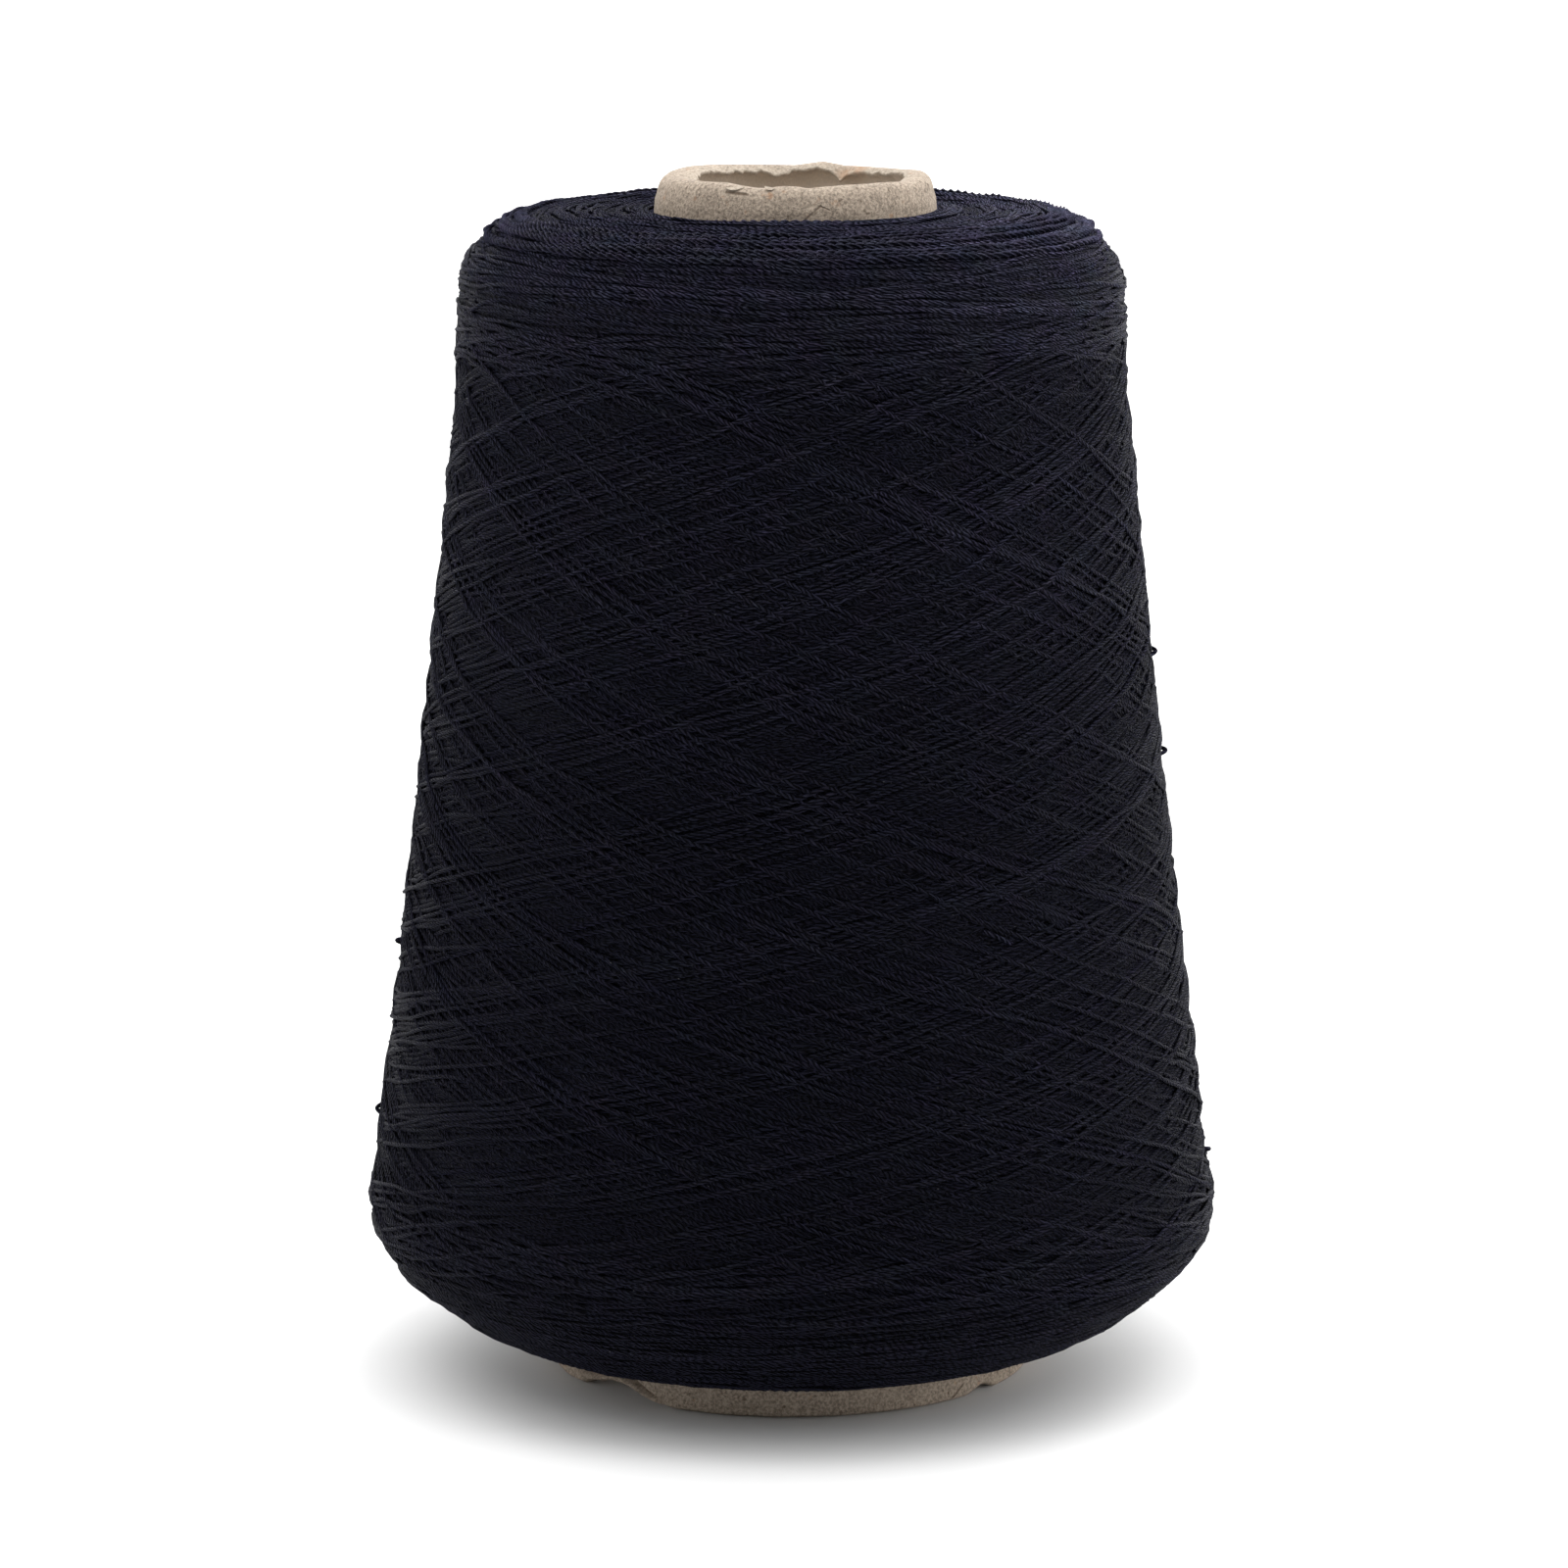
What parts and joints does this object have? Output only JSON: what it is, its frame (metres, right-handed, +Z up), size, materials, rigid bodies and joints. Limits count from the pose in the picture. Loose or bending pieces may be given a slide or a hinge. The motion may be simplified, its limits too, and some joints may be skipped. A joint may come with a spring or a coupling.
{
  "type": "cone of thread",
  "caption": "Cone of black twisted thread, cross-wound on a hollow grey-brown paper cone that shows at both ends; it stands on its wide end or slips over a peg.",
  "frame": {"origin": "centre of the base ring of the paper cone, on the surface that it stands on", "axes": "+Z up along the cone's axis, from the wide end to the nose; -Y is the front"},
  "size_m": [0.121, 0.121, 0.17],
  "materials": {
    "thread": "matte",
    "board": "matte"
  },
  "bodies": {
    "root": {"yarn_winding": "thread", "paper_cone": "board"}
  },
  "joints": []
}
